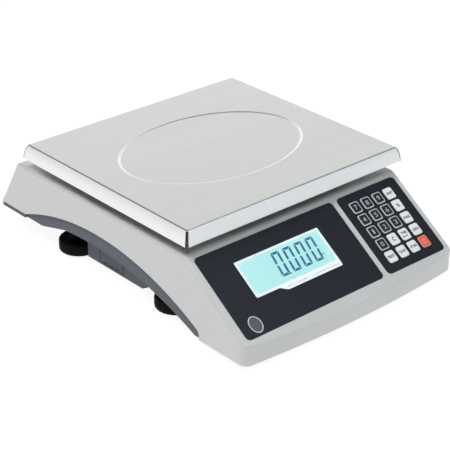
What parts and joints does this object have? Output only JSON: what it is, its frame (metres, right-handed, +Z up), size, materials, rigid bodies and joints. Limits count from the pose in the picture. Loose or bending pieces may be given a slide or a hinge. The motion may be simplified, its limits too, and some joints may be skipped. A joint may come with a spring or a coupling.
{
  "type": "counting scale",
  "caption": "Bench counting scale: flat stainless platter on a load cell, sloped front panel with a backlit display and a keypad, levelling feet.",
  "frame": {"origin": "centre of the footprint's box, on the surface that the feet stand on", "axes": "+X to the operator's right, +Y away from the operator, +Z up out of the platter"},
  "size_m": [0.3, 0.4108, 0.1179],
  "materials": {
    "case_grey": "fine moulded texture, light grey",
    "base_grey": "fine moulded texture, blue-grey",
    "stainless": "fine brushed",
    "label_slate": "satin printed film",
    "clear_window": "clear",
    "lcd_glass": "backlit pale cyan",
    "circuit_board": "solder mask",
    "key_black": "satin",
    "key_white": "satin",
    "key_red": "satin",
    "black_plastic": "satin",
    "rubber": "matt",
    "aluminium": "machined",
    "zinc_steel": "zinc plated",
    "vial": "clear, filled",
    "battery_wrap": "shrink sleeve"
  },
  "bodies": {
    "case": {"top_cover": "case_grey", "base_shell": "base_grey", "battery_pack": "battery_wrap", "dc_jack": "black_plastic", "chassis_plate": "zinc_steel", "cell_base_block": "aluminium", "load_cell": "aluminium", "main_board": "circuit_board", "display_label": "label_slate", "display_window": "clear_window", "lcd_module": "lcd_glass", "display_board": "circuit_board", "level_window": "clear_window", "level_vial": "vial", "keypad_label": "label_slate", "keypad_board": "circuit_board", "case_screw_front_left": "zinc_steel", "case_screw_front_right": "zinc_steel", "case_screw_rear_left": "zinc_steel", "case_screw_rear_right": "zinc_steel"},
    "carriage": {"cell_top_block": "aluminium", "platter_carrier": "aluminium", "platter_pad_front_left": "rubber", "platter_pad_front_right": "rubber", "platter_pad_rear_left": "rubber", "platter_pad_rear_right": "rubber"},
    "platter": {"platter": "stainless"},
    "battery_door": {"battery_door": "base_grey"},
    "foot_shoe_front_left": {"foot_pad_front_left": "rubber"},
    "foot_wheel_front_left": {"foot_wheel_front_left": "black_plastic", "foot_stud_front_left": "zinc_steel"},
    "foot_shoe_front_right": {"foot_pad_front_right": "rubber"},
    "foot_wheel_front_right": {"foot_wheel_front_right": "black_plastic", "foot_stud_front_right": "zinc_steel"},
    "foot_shoe_rear_left": {"foot_pad_rear_left": "rubber"},
    "foot_wheel_rear_left": {"foot_wheel_rear_left": "black_plastic", "foot_stud_rear_left": "zinc_steel"},
    "foot_shoe_rear_right": {"foot_pad_rear_right": "rubber"},
    "foot_wheel_rear_right": {"foot_wheel_rear_right": "black_plastic", "foot_stud_rear_right": "zinc_steel"},
    "key_7": {"key_7": "key_black"},
    "key_8": {"key_8": "key_black"},
    "key_9": {"key_9": "key_black"},
    "key_unit": {"key_unit": "key_white"},
    "key_4": {"key_4": "key_black"},
    "key_5": {"key_5": "key_black"},
    "key_6": {"key_6": "key_black"},
    "key_percent": {"key_percent": "key_white"},
    "key_1": {"key_1": "key_black"},
    "key_2": {"key_2": "key_black"},
    "key_3": {"key_3": "key_black"},
    "key_function": {"key_function": "key_white"},
    "key_0": {"key_0": "key_black"},
    "key_clear": {"key_clear": "key_white"},
    "key_tare": {"key_tare": "key_white"},
    "key_zero": {"key_zero": "key_white"},
    "key_print": {"key_print": "key_white"},
    "key_count": {"key_count": "key_white"},
    "key_store": {"key_store": "key_white"},
    "key_power": {"key_power": "key_red"}
  },
  "joints": [
    {"name": "weigh_travel", "type": "slide", "parent": "case", "child": "carriage", "axis": [0, 0, -1], "range_m": [0, 0.00025], "stiffness_N_per_m": 100000, "springref_m": -0.0003},
    {"name": "platter_lift", "type": "slide", "parent": "carriage", "child": "platter", "axis": [0, 0, 1], "range_m": [0, 0.06]},
    {"name": "battery_door_hinge", "type": "hinge", "parent": "case", "child": "battery_door", "pos_m": [-0.125, 0.0346, 0.0267], "axis": [0, 1, 0], "range_deg": [0, 80]},
    {"name": "foot_drop_front_left", "type": "slide", "parent": "case", "child": "foot_shoe_front_left", "axis": [0, 0, -1], "range_m": [0, 0.0063]},
    {"name": "foot_turn_front_left", "type": "hinge", "parent": "foot_shoe_front_left", "child": "foot_wheel_front_left", "pos_m": [-0.1164, -0.0597, 0.008], "axis": [0, 0, -1], "range_deg": [0, 1800]},
    {"name": "foot_drop_front_right", "type": "slide", "parent": "case", "child": "foot_shoe_front_right", "axis": [0, 0, -1], "range_m": [0, 0.0063]},
    {"name": "foot_turn_front_right", "type": "hinge", "parent": "foot_shoe_front_right", "child": "foot_wheel_front_right", "pos_m": [0.1164, -0.0597, 0.008], "axis": [0, 0, -1], "range_deg": [0, 1800]},
    {"name": "foot_drop_rear_left", "type": "slide", "parent": "case", "child": "foot_shoe_rear_left", "axis": [0, 0, -1], "range_m": [0, 0.0063]},
    {"name": "foot_turn_rear_left", "type": "hinge", "parent": "foot_shoe_rear_left", "child": "foot_wheel_rear_left", "pos_m": [-0.1164, 0.104, 0.008], "axis": [0, 0, -1], "range_deg": [0, 1800]},
    {"name": "foot_drop_rear_right", "type": "slide", "parent": "case", "child": "foot_shoe_rear_right", "axis": [0, 0, -1], "range_m": [0, 0.0063]},
    {"name": "foot_turn_rear_right", "type": "hinge", "parent": "foot_shoe_rear_right", "child": "foot_wheel_rear_right", "pos_m": [0.1164, 0.104, 0.008], "axis": [0, 0, -1], "range_deg": [0, 1800]},
    {"name": "key_7_press", "type": "slide", "parent": "case", "child": "key_7", "axis": [0, 0.5664, -0.8241], "range_m": [0, 0.0004], "stiffness_N_per_m": 300, "springref_m": -0.0005},
    {"name": "key_8_press", "type": "slide", "parent": "case", "child": "key_8", "axis": [0, 0.5664, -0.8241], "range_m": [0, 0.0004], "stiffness_N_per_m": 300, "springref_m": -0.0005},
    {"name": "key_9_press", "type": "slide", "parent": "case", "child": "key_9", "axis": [0, 0.5664, -0.8241], "range_m": [0, 0.0004], "stiffness_N_per_m": 300, "springref_m": -0.0005},
    {"name": "key_unit_press", "type": "slide", "parent": "case", "child": "key_unit", "axis": [0, 0.5664, -0.8241], "range_m": [0, 0.0004], "stiffness_N_per_m": 300, "springref_m": -0.0005},
    {"name": "key_4_press", "type": "slide", "parent": "case", "child": "key_4", "axis": [0, 0.5664, -0.8241], "range_m": [0, 0.0004], "stiffness_N_per_m": 300, "springref_m": -0.0005},
    {"name": "key_5_press", "type": "slide", "parent": "case", "child": "key_5", "axis": [0, 0.5664, -0.8241], "range_m": [0, 0.0004], "stiffness_N_per_m": 300, "springref_m": -0.0005},
    {"name": "key_6_press", "type": "slide", "parent": "case", "child": "key_6", "axis": [0, 0.5664, -0.8241], "range_m": [0, 0.0004], "stiffness_N_per_m": 300, "springref_m": -0.0005},
    {"name": "key_percent_press", "type": "slide", "parent": "case", "child": "key_percent", "axis": [0, 0.5664, -0.8241], "range_m": [0, 0.0004], "stiffness_N_per_m": 300, "springref_m": -0.0005},
    {"name": "key_1_press", "type": "slide", "parent": "case", "child": "key_1", "axis": [0, 0.5664, -0.8241], "range_m": [0, 0.0004], "stiffness_N_per_m": 300, "springref_m": -0.0005},
    {"name": "key_2_press", "type": "slide", "parent": "case", "child": "key_2", "axis": [0, 0.5664, -0.8241], "range_m": [0, 0.0004], "stiffness_N_per_m": 300, "springref_m": -0.0005},
    {"name": "key_3_press", "type": "slide", "parent": "case", "child": "key_3", "axis": [0, 0.5664, -0.8241], "range_m": [0, 0.0004], "stiffness_N_per_m": 300, "springref_m": -0.0005},
    {"name": "key_function_press", "type": "slide", "parent": "case", "child": "key_function", "axis": [0, 0.5664, -0.8241], "range_m": [0, 0.0004], "stiffness_N_per_m": 300, "springref_m": -0.0005},
    {"name": "key_0_press", "type": "slide", "parent": "case", "child": "key_0", "axis": [0, 0.5664, -0.8241], "range_m": [0, 0.0004], "stiffness_N_per_m": 300, "springref_m": -0.0005},
    {"name": "key_clear_press", "type": "slide", "parent": "case", "child": "key_clear", "axis": [0, 0.5664, -0.8241], "range_m": [0, 0.0004], "stiffness_N_per_m": 300, "springref_m": -0.0005},
    {"name": "key_tare_press", "type": "slide", "parent": "case", "child": "key_tare", "axis": [0, 0.5664, -0.8241], "range_m": [0, 0.0004], "stiffness_N_per_m": 300, "springref_m": -0.0005},
    {"name": "key_zero_press", "type": "slide", "parent": "case", "child": "key_zero", "axis": [0, 0.5664, -0.8241], "range_m": [0, 0.0004], "stiffness_N_per_m": 300, "springref_m": -0.0005},
    {"name": "key_print_press", "type": "slide", "parent": "case", "child": "key_print", "axis": [0, 0.5664, -0.8241], "range_m": [0, 0.0004], "stiffness_N_per_m": 300, "springref_m": -0.0005},
    {"name": "key_count_press", "type": "slide", "parent": "case", "child": "key_count", "axis": [0, 0.5664, -0.8241], "range_m": [0, 0.0004], "stiffness_N_per_m": 300, "springref_m": -0.0005},
    {"name": "key_store_press", "type": "slide", "parent": "case", "child": "key_store", "axis": [0, 0.5664, -0.8241], "range_m": [0, 0.0004], "stiffness_N_per_m": 300, "springref_m": -0.0005},
    {"name": "key_power_press", "type": "slide", "parent": "case", "child": "key_power", "axis": [0, 0.5664, -0.8241], "range_m": [0, 0.0004], "stiffness_N_per_m": 300, "springref_m": -0.0005}
  ],
  "couplings": [
    {"joint": "foot_drop_front_left", "follows": "foot_turn_front_left", "m_per_rad": 0.00019894},
    {"joint": "foot_drop_front_right", "follows": "foot_turn_front_right", "m_per_rad": 0.00019894},
    {"joint": "foot_drop_rear_left", "follows": "foot_turn_rear_left", "m_per_rad": 0.00019894},
    {"joint": "foot_drop_rear_right", "follows": "foot_turn_rear_right", "m_per_rad": 0.00019894}
  ]
}
